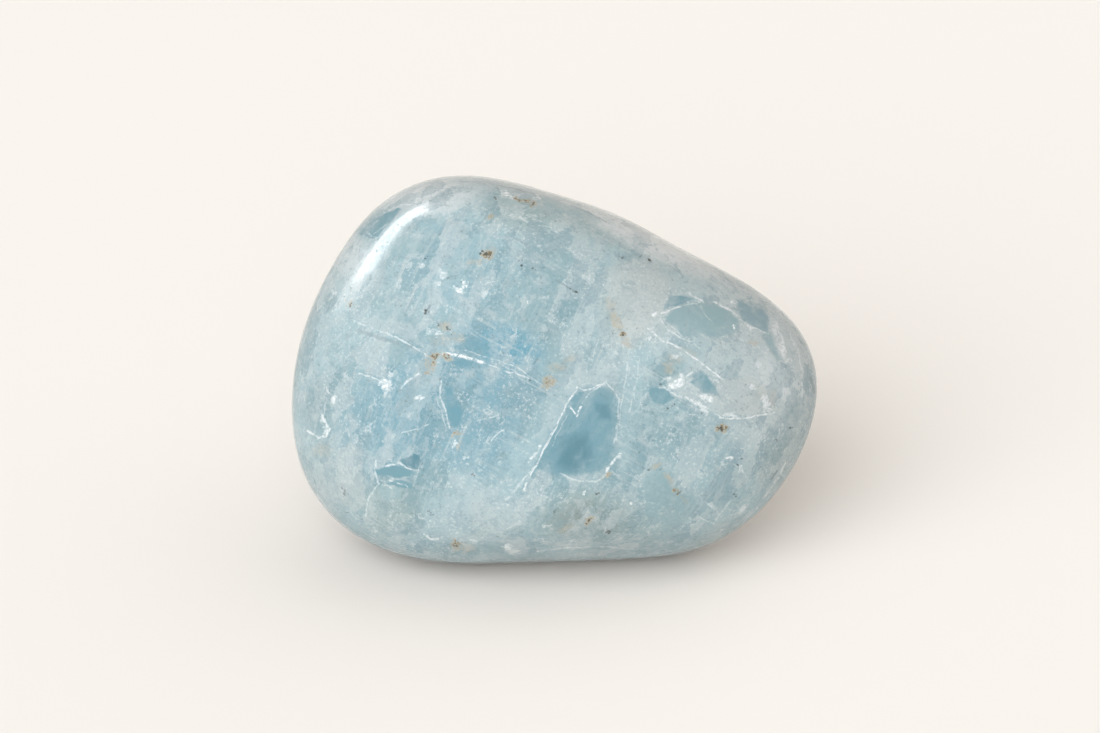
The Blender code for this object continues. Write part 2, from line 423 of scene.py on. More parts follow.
# Stains of iron in the cracks: middle, half sizes, turn, strength; each has a darker heart.
STAINS = (
    ((436, 356), (6, 2.6), -25, 0.9),
    ((448, 357), (5, 2.4), 15, 0.8),
    ((433, 363), (3, 5), 20, 0.8),
    ((429, 371), (4, 2), -40, 0.7),
    ((427, 360), (1.2, 8), -4, 0.5),
    ((487, 254), (5, 4), 10, 1.0),
    ((492, 250), (4, 4), 0, 0.4),
    ((517, 199), (4, 2), 20, 0.9),
    ((526, 201), (4, 2), 10, 0.9),
    ((533, 204), (3, 2.4), 0, 0.8),
    ((490, 217), (3.4, 2.4), -20, 0.7),
    ((622, 335), (3, 3.4), 50, 1.0),
    ((617, 322), (4, 12), -25, 0.5),
    ((628, 344), (7, 3), 40, 0.45),
    ((549, 382), (5, 6), 40, 0.7),
    ((556, 368), (9, 4), 0, 0.4),
    ((570, 359), (9, 3), -20, 0.3),
    ((456, 544), (5, 3.4), 20, 0.9),
    ((462, 548), (12, 4), 5, 0.4),
    ((722, 428), (5, 3.4), -10, 0.95),
    ((589, 521), (4, 3), -60, 0.9),
    ((566, 528), (8, 3), -30, 0.35),
    ((456, 434), (5, 2.4), -10, 0.7),
    ((459, 446), (2, 7), 5, 0.4),
    ((668, 368), (5, 6), 20, 0.45),
    ((674, 360), (8, 5), 20, 0.3),
    ((676, 491), (4, 2), 40, 0.8),
    ((670, 480), (8, 2), 60, 0.5),
    ((684, 500), (5, 2), 60, 0.35),
    ((606, 476), (4, 2), -25, 0.6),
    ((655, 467), (6, 2), -25, 0.5),
    ((753, 343), (5, 2.4), 0, 0.45),
    ((773, 398), (4, 10), 8, 0.25),
    ((760, 393), (5, 6), 0, 0.2),
    ((445, 326), (6, 5), 0, 0.45),
    ((440, 340), (10, 6), 0, 0.3),
    ((458, 338), (8, 4), 20, 0.35),
    ((475, 262), (10, 2), -8, 0.4),
    ((610, 305), (4, 8), -30, 0.3),
    ((350, 303), (3, 3), 0, 0.6),
    ((322, 450), (10, 6), 0, 0.3),
    ((690, 352), (10, 3), 25, 0.3),
)

# Dark grains: middle, half sizes, turn, strength.
GRAINS = (
    ((351, 304), (1.6, 2), 0, 0.8),
    ((426, 310), (2, 3), -25, 0.9),
    ((481, 252), (1.4, 1.4), 0, 0.9),
    ((487, 255), (2.4, 1.6), 20, 0.8),
    ((426, 258), (2, 1), -30, 0.7),
    ((499, 189), (3, 1), 15, 0.7),
    ((496, 198), (1.4, 1.2), 0, 0.7),
    ((532, 204), (2, 1.4), 0, 0.8),
    ((523, 267), (1.4, 1.4), 0, 0.9),
    ((533, 269), (1.4, 1.6), -30, 0.8),
    ((521, 261), (1.4, 1.2), 0, 0.6),
    ((623, 257), (2, 1.4), -20, 0.9),
    ((648, 258), (3.2, 1.3), 15, 0.95),
    ((620, 256), (1.2, 1), 0, 0.5),
    ((641, 257), (1.2, 1), 0, 0.5),
    ((575, 291), (2.4, 1.2), 10, 0.8),
    ((569, 289), (1.8, 1), 35, 0.6),
    ((622, 336), (1.8, 1.3), 10, 1.0),
    ((448, 356), (2.4, 1.6), 30, 0.7),
    ((436, 357), (1.4, 1.2), 0, 0.6),
    ((452, 333), (1.8, 1.2), 20, 0.7),
    ((448, 329), (1.4, 1.2), 0, 0.7),
    ((439, 325), (1.2, 1.4), 0, 0.6),
    ((721, 429), (1.4, 2), 0, 0.8),
    ((668, 408), (2.2, 1.6), 0, 0.7),
    ((673, 405), (1.6, 1.2), 0, 0.6),
    ((702, 413), (1.4, 1.4), 0, 0.6),
    ((791, 428), (1.4, 1), 0, 0.8),
    ((739, 464), (1.4, 1.4), 0, 0.8),
    ((741, 460), (1.4, 1), 0, 0.6),
    ((608, 533), (2, 1.6), 0, 0.8),
    ((589, 521), (1.8, 2.2), 0, 0.6),
    ((678, 492), (2.4, 1.2), 30, 0.7),
    ((597, 494), (1.6, 1.3), 0, 0.7),
    ((427, 511), (1.6, 1.2), 0, 0.7),
    ((431, 514), (2, 1), 40, 0.5),
    ((455, 545), (2.2, 1.3), 30, 0.7),
    ((473, 474), (2, 1), -30, 0.5),
    ((467, 468), (1.2, 1.6), 0, 0.6),
    ((530, 380), (2, 1), 0, 0.5),
    ((362, 519), (1.4, 1.6), 0, 0.6),
    ((347, 513), (2, 1.2), 40, 0.5),
    ((345, 491), (1.4, 4), -35, 0.5),
    ((660, 384), (1.4, 1.2), 0, 0.6),
    ((648, 470), (3, 1.4), 0, 0.6),
    ((735, 495), (1.4, 1.2), 0, 0.6),
    ((776, 440), (1.4, 1.4), 0, 0.5),
    ((645, 537), (1.6, 1), 0, 0.5),
    ((555, 512), (3, 1.6), -30, 0.5),
    ((615, 333), (1.4, 1.4), 0, 0.5),
)


class Sketch:
    """Adds shader nodes to one tree. What feeds a node is a number, a vector, a colour or another output."""

    def __init__(self, tree):
        self.tree = tree

    def add(self, kind, feeds=None, **settings):
        node = self.tree.nodes.new(kind)
        for name, value in settings.items():
            setattr(node, name, value)
        for socket, value in (feeds or {}).items():
            self.feed(node.inputs[socket], value)
        return node

    def feed(self, socket, value):
        if isinstance(value, bpy.types.NodeSocket):
            self.tree.links.new(value, socket)
        else:
            socket.default_value = value

    def number(self, operation, *values):
        return self.add("ShaderNodeMath", dict(enumerate(values)), operation=operation).outputs[0]

    def vector(self, operation, *values):
        return self.add("ShaderNodeVectorMath", dict(enumerate(values)), operation=operation).outputs[0]

    def scaled(self, vector, factor):
        node = self.add("ShaderNodeVectorMath", {0: vector, "Scale": factor}, operation="SCALE")
        return node.outputs[0]

    def dot(self, one, other):
        node = self.add("ShaderNodeVectorMath", {0: one, 1: other}, operation="DOT_PRODUCT")
        return node.outputs["Value"]

    def fade(self, value, start, end, low=0.0, high=1.0):
        """Goes smoothly from low to high as value goes from start to end."""
        feeds = {"Value": value, "From Min": start, "From Max": end, "To Min": low, "To Max": high}
        node = self.add("ShaderNodeMapRange", feeds, interpolation_type="SMOOTHSTEP", clamp=False)
        return node.outputs["Result"]

    def fades(self, values, start, end, low, high):
        """The same for the three parts of a vector at once."""
        feeds = {
            "Vector": values,
            "From_Min_FLOAT3": start,
            "From_Max_FLOAT3": end,
            "To_Min_FLOAT3": low,
            "To_Max_FLOAT3": high,
        }
        node = self.tree.nodes.new("ShaderNodeMapRange")
        node.data_type = "FLOAT_VECTOR"
        node.interpolation_type = "SMOOTHSTEP"
        node.clamp = False
        by_identifier = {socket.identifier: socket for socket in node.inputs}
        for identifier, value in feeds.items():
            self.feed(by_identifier[identifier], value)
        return node.outputs["Vector"]

    def largest(self, values):
        """The largest of a vector's three parts."""
        parts = self.add("ShaderNodeSeparateXYZ", {0: values}).outputs
        return self.number("MAXIMUM", self.number("MAXIMUM", parts[0], parts[1]), parts[2])

    def alike(self, value):
        """The vector whose three parts are all this value."""
        return self.add("ShaderNodeCombineXYZ", {0: value, 1: value, 2: value}).outputs[0]

    def measures(self, x, y, slopes):
        """Three straight measures of a place at once: x and y times their slopes, plus a start."""
        x_slopes, y_slopes, starts = zip(*slopes)
        onward = self.vector("MULTIPLY_ADD", x, x_slopes, starts)
        return self.vector("MULTIPLY_ADD", y, y_slopes, onward)

    def mean(self, one, other, share):
        """One number, going to the other as share goes from 0 to 1."""
        return self.add("ShaderNodeMix", {0: share, 2: one, 3: other}, data_type="FLOAT").outputs[0]

    def noise(self, place, scale, detail=3.0, roughness=0.55, distortion=0.0, output="Fac"):
        feeds = {
            "Vector": place,
            "Scale": scale,
            "Detail": detail,
            "Roughness": roughness,
            "Distortion": distortion,
        }
        return self.add("ShaderNodeTexNoise", feeds).outputs[output]

    def cells(self, place, scale, feature="F1", output="Distance", randomness=1.0):
        feeds = {"Vector": place, "Scale": scale, "Randomness": randomness}
        return self.add("ShaderNodeTexVoronoi", feeds, feature=feature).outputs[output]

    def use(self, group, feeds):
        """The first output of a node group that is placed in this tree."""
        return self.add("ShaderNodeGroup", feeds, node_tree=group).outputs[0]

    def blend(self, under, over, amount, how="MIX"):
        node = self.add(
            "ShaderNodeMix", {0: amount, 6: under, 7: over}, data_type="RGBA", blend_type=how
        )
        return node.outputs[2]


class Group(Sketch):
    """A node group under construction: its inputs by name, and one output."""

    def __init__(self, name, inputs, output_kind):
        super().__init__(bpy.data.node_groups.new(name, "ShaderNodeTree"))
        for label, kind in inputs.items():
            self.tree.interface.new_socket(label, in_out="INPUT", socket_type=kind)
        self.tree.interface.new_socket("Result", in_out="OUTPUT", socket_type=output_kind)
        self.inputs = self.add("NodeGroupInput").outputs

    def finish(self, result):
        self.add("NodeGroupOutput", {"Result": result})
        return self.tree


def colour(red, green, blue):
    """A colour as it looks on screen, from 0 to 255, as the shader's linear values."""
    def linear(value):
        value /= 255
        return value / 12.92 if value <= 0.04045 else ((value + 0.055) / 1.055) ** 2.4

    return (linear(red), linear(green), linear(blue), 1.0)


def finer_stone(node):
    """The stone's skin, finer and smoother than the CAD node that it stands for."""
    shape = bmesh.new()
    shape.from_mesh(node.data)
    bmesh.ops.remove_doubles(shape, verts=shape.verts, dist=SAME_POINT)
    flat = [face for face in shape.faces if face.normal.z < FLAT_FACING]
    bmesh.ops.dissolve_faces(shape, faces=flat)
    bmesh.ops.join_triangles(
        shape,
        faces=[face for face in shape.faces if len(face.verts) == 3],
        angle_face_threshold=SQUARE_BEND,
        angle_shape_threshold=SQUARE_SKEW,
    )
    for face in shape.faces:
        face.smooth = True
    coarse = bpy.data.meshes.new("stone_coarse")
    shape.to_mesh(coarse)
    shape.free()
    stone = bpy.data.objects.new("stone_skin", coarse)
    bpy.context.scene.collection.objects.link(stone)
    rounding = stone.modifiers.new("rounding", "SUBSURF")
    rounding.levels = SKIN_LEVELS
    rounding.render_levels = SKIN_LEVELS
    bpy.context.view_layer.update()
    skin = bpy.data.meshes.new_from_object(stone.evaluated_get(bpy.context.evaluated_depsgraph_get()))
    stone.modifiers.clear()
    stone.data = skin
    for layer in ("sharp_edge", "sharp_face", "custom_normal"):
        if layer in skin.attributes:
            skin.attributes.remove(skin.attributes[layer])
    skin.shade_smooth()
    return stone


def slope(direction, origin, scale):
    """The slopes and start that measure how far a place lies from origin along direction."""
    x = direction[0] * scale
    y = direction[1] * scale
    return (x, y, -(x * origin[0] + y * origin[1]))


def in_threes(items):
    """The items three by three, the last ones repeated to fill the last three."""
    filled = list(items) + [items[-1]] * (-len(items) % 3)
    return zip(filled[0::3], filled[1::3], filled[2::3])


def spot_covers(sketch, x, y, spots, inner, outer):
    """The covers of three oval spots at once. Inner and outer are squares of distances in half sizes: a spot
    is full within the first and gone past the second."""
    along = []
    across = []
    for middle, half_sizes, turn, *rest in spots:
        angle = math.radians(turn)
        along.append(slope((math.cos(angle), math.sin(angle)), middle, 1 / half_sizes[0]))
        across.append(slope((-math.sin(angle), math.cos(angle)), middle, 1 / half_sizes[1]))
    one = sketch.measures(x, y, along)
    other = sketch.measures(x, y, across)
    squares = sketch.vector("MULTIPLY_ADD", one, one, sketch.vector("MULTIPLY", other, other))
    strengths = [spot[-1] for spot in spots]
    return sketch.fades(squares, [inner] * 3, [outer] * 3, strengths, (0, 0, 0))


def line_covers(sketch, x, y, lines):
    """The covers of three straight lines at once."""
    along = []
    across = []
    for start, end, width, strength in lines:
        length = math.dist(start, end)
        direction = ((end[0] - start[0]) / length, (end[1] - start[1]) / length)
        middle = ((start[0] + end[0]) / 2, (start[1] + end[1]) / 2)
        along.append(slope(direction, middle, 2 / width))
        across.append(slope((-direction[1], direction[0]), middle, 2 / width))
    aside = sketch.vector("ABSOLUTE", sketch.measures(x, y, across))
    onward = sketch.vector("ABSOLUTE", sketch.measures(x, y, along))
    half_lengths = [math.dist(start, end) / width for start, end, width, strength in lines]
    distances = sketch.vector("MAXIMUM", aside, sketch.vector("SUBTRACT", onward, half_lengths))
    strengths = [line[-1] for line in lines]
    return sketch.fades(distances, [LINE_CORE] * 3, [LINE_EDGE] * 3, strengths, (0, 0, 0))


def polygon_cover(sketch, x, y, corners, strength, softness):
    """The cover of one convex polygon, fading out over the softness across its edges."""
    middle = [sum(corner[axis] for corner in corners) / len(corners) for axis in (0, 1)]
    sides = []
    for start, end in zip(corners, corners[1:] + corners[:1]):
        length = math.dist(start, end)
        outward = ((end[1] - start[1]) / length, (start[0] - end[0]) / length)
        if (start[0] - middle[0]) * outward[0] + (start[1] - middle[1]) * outward[1] < 0:
            outward = (-outward[0], -outward[1])
        sides.append(slope(outward, start, 1))
    furthest = None
    for three in in_threes(sides):
        beyond = sketch.measures(x, y, three)
        furthest = beyond if furthest is None else sketch.vector("MAXIMUM", furthest, beyond)
    return sketch.fade(sketch.largest(furthest), -softness / 2, softness / 2, strength, 0.0)


def clouds_group():
    """Lays the soft clouds on a tone, each in its turn."""
    clouds = Group("clouds", {"Tone": COLOUR, "X": VECTOR, "Y": VECTOR, "Share": VECTOR}, COLOUR)
    tone = clouds.inputs["Tone"]
    for three in in_threes(CLOUDS):
        covers = spot_covers(clouds, clouds.inputs["X"], clouds.inputs["Y"], three, 0.0, CLOUD_FADE)
        covers = clouds.vector("MULTIPLY", covers, clouds.inputs["Share"])
        parts = clouds.add("ShaderNodeSeparateXYZ", {0: covers}).outputs
        for cloud, cover in dict(zip(three, parts)).items():
            tone = clouds.blend(tone, colour(*cloud[3]), cover)
    return clouds.finish(tone)


def polygons_group(name, polygons):
    """Lays polygons on a tone, all those of one colour together."""
    panes = Group(name, {"Tone": COLOUR, "X": VECTOR, "Y": VECTOR, "Share": VALUE}, COLOUR)
    x = panes.inputs["X"]
    y = panes.inputs["Y"]
    tone = panes.inputs["Tone"]
    for named in dict.fromkeys(polygon[1] for polygon in polygons):
        cover = 0.0
        for corners, own_tone, strength, softness in polygons:
            if own_tone == named:
                pane = polygon_cover(panes, x, y, corners, strength, softness)
                cover = panes.number("MAXIMUM", cover, pane)
        tone = panes.blend(tone, colour(*named), panes.number("MULTIPLY", cover, panes.inputs["Share"]))
    return panes.finish(tone)


def lines_group(name, lines):
    """How strongly a set of bent lines covers a place."""
    marks = Group(name, {"X": VECTOR, "Y": VECTOR}, VALUE)
    pieces = []
    for points, width, strength in lines:
        for start, end in zip(points, points[1:]):
            pieces.append((start, end, width, strength))
    covers = (0, 0, 0)
    for three in in_threes(pieces):
        own = line_covers(marks, marks.inputs["X"], marks.inputs["Y"], three)
        covers = marks.vector("MAXIMUM", covers, own)
    return marks.finish(marks.largest(covers))


def spots_group(name, spots, inner, outer):
    """How strongly a set of spots covers a place."""
    marks = Group(name, {"X": VECTOR, "Y": VECTOR}, VALUE)
    covers = (0, 0, 0)
    for three in in_threes(spots):
        own = spot_covers(marks, marks.inputs["X"], marks.inputs["Y"], three, inner, outer)
        covers = marks.vector("MAXIMUM", covers, own)
    return marks.finish(marks.largest(covers))


def place_in_photo(sketch, place):
    """Where a point lies in the photo, as (x, y, 0) in pixels, when it is seen from the viewpoint."""
    viewpoint = CAMERA_PLACE / MM
    sight = sketch.vector("SUBTRACT", place, viewpoint)
    depth = sketch.dot(sight, -TOWARDS_CAMERA)
    right = sketch.number("DIVIDE", sketch.dot(sight, CAMERA_RIGHT * PIXELS_PER_SLOPE), depth)
    down = sketch.number("DIVIDE", sketch.dot(sight, -CAMERA_UP * PIXELS_PER_SLOPE), depth)
    x = sketch.number("ADD", right, PHOTO_WIDTH / 2)
    y = sketch.number("ADD", down, PHOTO_HEIGHT / 2)
    return sketch.add("ShaderNodeCombineXYZ", {0: x, 1: y, 2: 0.0}).outputs[0]


def wandering(sketch, place, face, scale, reach):
    """The place in the photo, wandering by up to about the reach in pixels, so that edges aren't ruled."""
    drift = sketch.noise(place, scale, detail=2.0, roughness=0.6, output="Color")
    centred = sketch.vector("SUBTRACT", drift, (0.5, 0.5, 0.5))
    return sketch.vector("MULTIPLY_ADD", centred, (WANDER_SWING * reach, WANDER_SWING * reach, 0), face)


def chipped(sketch, place, face, scale, reach):
    """The place in the photo, jumping by up to the reach in pixels from chip to chip, for jagged edges."""
    jump = sketch.cells(place, scale, output="Color")
    centred = sketch.vector("SUBTRACT", jump, (0.5, 0.5, 0.5))
    return sketch.vector("MULTIPLY_ADD", centred, (CHIP_SWING * reach, CHIP_SWING * reach, 0), face)


def spread(sketch, face):
    """The feeds that marks groups take: the place's x in all parts of one vector and its y in another."""
    parts = sketch.add("ShaderNodeSeparateXYZ", {0: face}).outputs
    return {"X": sketch.alike(parts[0]), "Y": sketch.alike(parts[1])}


def drawn_out(sketch, place, screen_angle, length, width):
    """The place, measured so that patterns on it are drawn out along a direction, given as seen in front."""
    angle = math.radians(screen_angle)
    along = CAMERA_RIGHT * math.cos(angle) + CAMERA_UP * math.sin(angle)
    across = along.cross(TOWARDS_CAMERA)
    parts = {
        0: sketch.dot(place, along / length),
        1: sketch.dot(place, across / width),
        2: sketch.dot(place, TOWARDS_CAMERA / (DRAWN_DEPTH * width)),
    }
    return sketch.add("ShaderNodeCombineXYZ", parts).outputs[0]


def add_shards(sketch, place, tone, front):
    """Splinter-like patches between healed cracks, some milky and some clearer, with a few bright edges.
    They stand out more away from the front."""
    drift = sketch.noise(place, 1.3, detail=3.0, roughness=0.62, output="Color")
    bent = sketch.vector("MULTIPLY_ADD", drift, (1.5, 1.5, 1.5), place)
    rising = drawn_out(sketch, bent, SPLINTERS_RISE, length=4.2, width=1.2)
    cell = sketch.add("ShaderNodeSeparateColor", {0: sketch.cells(rising, 1.0, output="Color")}).outputs
    tone = sketch.blend(tone, colour(*MILK), sketch.fade(cell[0], 0.55, 1.0, 0.0, 0.45))
    deep = sketch.mean(0.65, 0.40, front)
    tone = sketch.blend(tone, colour(*DEEP), sketch.fade(cell[1], 0.60, 0.95, 0.0, deep))
    edge = sketch.cells(rising, 1.0, feature="DISTANCE_TO_EDGE")
    some = sketch.fade(sketch.noise(place, 0.7, detail=3.0, roughness=0.6), 0.54, 0.64)
    bright = sketch.mean(0.85, 0.5, front)
    rim = sketch.number("MULTIPLY", sketch.fade(edge, 0.005, 0.045, bright, 0.0), some)
    tone = sketch.blend(tone, colour(*WHITE), rim)
    small = sketch.add("ShaderNodeSeparateColor", {0: sketch.cells(bent, 1.5, output="Color")}).outputs
    tone = sketch.blend(tone, colour(*MILK), sketch.fade(small[0], 0.66, 1.0, 0.0, 0.25))
    return sketch.blend(tone, colour(*SLATE), sketch.fade(small[1], 0.66, 1.0, 0.0, 0.3))


def add_fibres(sketch, place, tone, patches):
    """Milky growth fibres, which rise to the right in some parts and fall to the right in others."""
    along = drawn_out(sketch, place, FIBRES_RISE, length=5.5, width=0.30)
    rising = sketch.noise(along, 1.0, detail=4.0, roughness=0.62, distortion=0.4)
    here = sketch.fade(patches, 0.44, 0.58)
    cover = sketch.number("MULTIPLY", sketch.fade(rising, 0.50, 0.72, 0.0, 0.55), here)
    tone = sketch.blend(tone, colour(*MILK), cover)
    along = drawn_out(sketch, place, FIBRES_FALL, length=5.0, width=0.26)
    falling = sketch.noise(along, 1.0, detail=4.0, roughness=0.62, distortion=0.4)
    there = sketch.fade(patches, 0.56, 0.42)
    cover = sketch.number("MULTIPLY", sketch.fade(falling, 0.50, 0.72, 0.0, 0.55), there)
    return sketch.blend(tone, colour(*MILK), cover)


def add_clumps(sketch, place, tone):
    """Feathery milky clumps, with clearer hollows between them."""
    clumps = sketch.noise(place, 0.62, detail=7.0, roughness=0.72, distortion=0.5)
    tone = sketch.blend(tone, colour(*MILK), sketch.fade(clumps, 0.51, 0.66, 0.0, 0.4))
    return sketch.blend(tone, colour(*SLATE), sketch.fade(clumps, 0.47, 0.32, 0.0, 0.6))


def add_sugar(sketch, place, tone, speckled):
    """The finest texture, sugary white flecks and dark pepper in drifts, and the deepening of the whole."""
    drifts = sketch.noise(place, 0.35, detail=3.0, roughness=0.55)
    sugary = sketch.fade(drifts, 0.40, 0.62, 0.12, 0.6)
    sugar = sketch.number("MULTIPLY", sketch.fade(speckled, 0.52, 0.70), sugary)
    tone = sketch.blend(tone, colour(*WHITE), sugar)
    peppery = sketch.fade(drifts, 0.62, 0.40, 0.2, 0.6)
    pepper = sketch.number("MULTIPLY", sketch.fade(speckled, 0.42, 0.28), peppery)
    tone = sketch.blend(tone, colour(*PEPPER), pepper)
    return sketch.vector("MULTIPLY", tone, TONE_DEPTH)


def scattered_flaws(sketch, place):
    """Flaws strewn over the sides and the back: the distance to the next stain, and the cover of painted
    glints, which stand in for light mirrored by small cracks, of grains, of clear windows and of milky
    plates."""
    drift = sketch.noise(place, 1.5, detail=4.0, roughness=0.7, output="Color")
    bent = sketch.vector("MULTIPLY_ADD", drift, (1.8, 1.8, 1.8), place)
    stains = sketch.add("ShaderNodeTexVoronoi", {"Vector": bent, "Scale": 0.24})
    small = sketch.add("ShaderNodeTexVoronoi", {"Vector": bent, "Scale": 0.75})
    rare = sketch.add("ShaderNodeSeparateColor", {0: stains.outputs["Color"]}).outputs
    kinds = sketch.add("ShaderNodeSeparateColor", {0: small.outputs["Color"]}).outputs
    near_stain = sketch.number("ADD", stains.outputs["Distance"], sketch.fade(rare[0], 0.45, 0.50, 1.0, 0.0))
    near = small.outputs["Distance"]
    some = sketch.fade(kinds[0], 0.72, 0.76)
    # Painted glints: white spots that stand in for light mirrored by small cracks.
    painted_glints = sketch.number("MULTIPLY", sketch.fade(near, 0.10, 0.26, 0.9, 0.0), some)
    few = sketch.fade(kinds[1], 0.80, 0.84)
    grains = sketch.number("MULTIPLY", sketch.fade(near, 0.08, 0.16, 0.8, 0.0), few)
    windows = sketch.fade(rare[1], 0.74, 0.86, 0.0, 0.45)
    plates = sketch.fade(rare[2], 0.55, 0.90, 0.0, 0.3)
    return near_stain, painted_glints, grains, windows, plates


def stone_body(material, name):
    """One of the stone's two shaders: glass that is partly clouded, with a gloss polish."""
    surface = material.node_tree.nodes.new("ShaderNodeBsdfPrincipled")
    surface.name = name
    surface.inputs["Roughness"].default_value = POLISH_ROUGHNESS
    surface.inputs["IOR"].default_value = BERYL_IOR
    surface.inputs["Transmission Weight"].default_value = CLEARNESS
    return surface


def add_windows(sketch, place, tone, soft, front):
    """Clear windows through which the deeper blue shows, streaked along the splinters."""
    along = drawn_out(sketch, place, SPLINTERS_RISE, length=2.4, width=1.2)
    streaks = sketch.noise(along, 1.0, detail=3.0, roughness=0.6)
    uneven = sketch.fade(streaks, 0.32, 0.60, 0.6, 1.2)
    share = sketch.number("MULTIPLY", front, uneven)
    return sketch.use(polygons_group("windows", WINDOWS), {"Tone": tone, "Share": share, **soft})


def add_cracks(sketch, place, tone, face, front):
    """Bright cracks, broken up along their length, and dark seams. A few bright lines are painted
    reflections and a few seams painted shade on the top rim.
    """
    sharp = spread(sketch, wandering(sketch, place, face, scale=1.3, reach=1.8))
    gaps = sketch.noise(place, 2.6, detail=3.0, roughness=0.7)
    broken = sketch.fade(gaps, 0.38, 0.58, 0.08, 0.9)
    cracks = sketch.use(lines_group("cracks", CRACKS), sharp)
    cracks = sketch.number("MULTIPLY", sketch.number("MULTIPLY", cracks, broken), front)
    tone = sketch.blend(tone, colour(*WHITE), cracks)
    seams = sketch.use(lines_group("seams", SEAMS), sharp)
    return sketch.blend(tone, colour(*SEAM), sketch.number("MULTIPLY", seams, front))


def add_stains(sketch, tone, ragged, speckled, near_stain, front):
    """Iron stains, each with a darker heart, placed in front and strewn elsewhere."""
    stains = sketch.use(spots_group("stains", STAINS, 0.0, 2.6), ragged)
    stains = sketch.number("MULTIPLY", stains, sketch.fade(speckled, 0.36, 0.60, 0.4, 1.0))
    stains = sketch.mean(sketch.fade(near_stain, 0.30, 0.0, 0.0, 0.9), stains, front)
    tone = sketch.blend(tone, colour(*IRON), sketch.fade(stains, 0.0, 0.65, 0.0, 0.8))
    return sketch.blend(tone, colour(*IRON_HEART), sketch.fade(stains, 0.45, 0.9, 0.0, 0.85))


def stone_tone(sketch, place):
    """The colour of the stone all over, from broad clouds down to single cracks, stains and grains, with
    painted glints, highlights, reflections and shade among them.
    """
    depth = sketch.dot(place, TOWARDS_CAMERA)
    front = sketch.fade(depth, FRONT_START, FRONT_FULL)
    face = place_in_photo(sketch, place)
    soft_face = wandering(sketch, place, face, scale=0.5, reach=3.5)
    soft = spread(sketch, chipped(sketch, place, soft_face, scale=1.6, reach=1.4))

    broad = sketch.noise(place, BROAD_SCALE, detail=3.0, roughness=0.55, distortion=0.3)
    tone = sketch.blend(colour(*DUSK), colour(*HAZE), sketch.fade(broad, BROAD_DUSK, BROAD_HAZE))
    tone = sketch.use(clouds_group(), {"Tone": tone, "Share": sketch.alike(front), **soft})
    tone = add_shards(sketch, place, tone, front)
    patches = sketch.noise(place, 0.16, detail=2.0, roughness=0.5)
    tone = add_fibres(sketch, place, tone, patches)
    tone = add_clumps(sketch, place, tone)
    tone = sketch.use(polygons_group("plates", PLATES), {"Tone": tone, "Share": front, **soft})
    speckled = sketch.noise(place, 4.5, detail=3.0, roughness=0.7)
    tone = add_sugar(sketch, place, tone, speckled)
    tone = add_windows(sketch, place, tone, soft, front)
    near_stain, strewn_painted_glints, strewn_grains, strewn_windows, strewn_plates = scattered_flaws(sketch, place)
    tone = sketch.blend(tone, colour(*MILK), sketch.mean(strewn_plates, 0.0, front))
    tone = sketch.blend(tone, colour(*DEEP), sketch.mean(strewn_windows, 0.0, front))
    tone = add_cracks(sketch, place, tone, face, front)

    ragged = spread(sketch, chipped(sketch, place, face, scale=3.4, reach=1.8))
    tone = add_stains(sketch, tone, ragged, speckled, near_stain, front)
    # Painted glints: white spots that stand in for light mirrored by small crack faces.
    painted_glints = sketch.use(spots_group("painted_glints", PAINTED_GLINTS, 0.3, 1.5), ragged)
    painted_glints = sketch.number("MULTIPLY", painted_glints, sketch.fade(speckled, 0.56, 0.44, 0.35, 1.0))
    tone = sketch.blend(tone, colour(*WHITE), sketch.mean(strewn_painted_glints, painted_glints, front))
    grains = sketch.use(spots_group("grains", GRAINS, 0.3, 1.4), ragged)
    return sketch.blend(tone, colour(*GRAIN), sketch.mean(strewn_grains, grains, front))


def add_polish(sketch, place, surface):
    """A gloss that is a little worn in places, with tiny pits left by tumbling."""
    worn = sketch.noise(place, 0.5, detail=4.0, roughness=0.65)
    sketch.feed(surface.inputs["Roughness"], sketch.fade(worn, 0.35, 0.70, POLISH_ROUGHNESS, WORN_ROUGHNESS))
    pits = sketch.fade(sketch.noise(place, 2.8, detail=2.0, roughness=0.6), 0.62, 0.74, 1.0, 0.0)
    feeds = {"Strength": 1.0, "Distance": PIT_DEPTH, "Height": pits}
    sketch.feed(surface.inputs["Normal"], sketch.add("ShaderNodeBump", feeds).outputs[0])


def aquamarine():
    """Cloudy blue beryl with clear windows, healed cracks, iron stains and a gloss polish."""
    material = bpy.data.materials.new("aquamarine_polished")
    material.use_nodes = True
    tree = material.node_tree
    tree.nodes.remove(tree.nodes["Principled BSDF"])
    sketch = Sketch(tree)
    # Light that has already bounced blurs what it meets, so it sees a plainer body, quick to work out. That
    # body
    # is also darker: painted shade that deepens the stone's shadow on the floor.
    outside = stone_body(material, "outside")
    inside = stone_body(material, "inside")
    first_sight = sketch.add("ShaderNodeLightPath").outputs["Is Camera Ray"]
    bounced = sketch.number("SUBTRACT", 1.0, first_sight)
    both = sketch.add("ShaderNodeMixShader", {0: bounced, 1: outside.outputs[0], 2: inside.outputs[0]})
    tree.links.new(both.outputs[0], tree.nodes["Material Output"].inputs["Surface"])

    place = sketch.scaled(sketch.add("ShaderNodeTexCoord").outputs["Object"], 1 / MM)
    tree.links.new(stone_tone(sketch, place), outside.inputs["Base Color"])
    add_polish(sketch, place, outside)
    broad = sketch.noise(place, BROAD_SCALE, detail=1.0, roughness=0.5)
    hazy = sketch.fade(broad, BROAD_DUSK, BROAD_HAZE)
    tone = sketch.blend(colour(*INNER_SHADE_DUSK), colour(*INNER_SHADE_HAZE), hazy)
    tree.links.new(tone, inside.inputs["Base Color"])
    body = sketch.add("ShaderNodeVolumeAbsorption", {"Color": BODY_TINT, "Density": BODY_DENSITY})
    tree.links.new(body.outputs["Volume"], tree.nodes["Material Output"].inputs["Volume"])
    return material


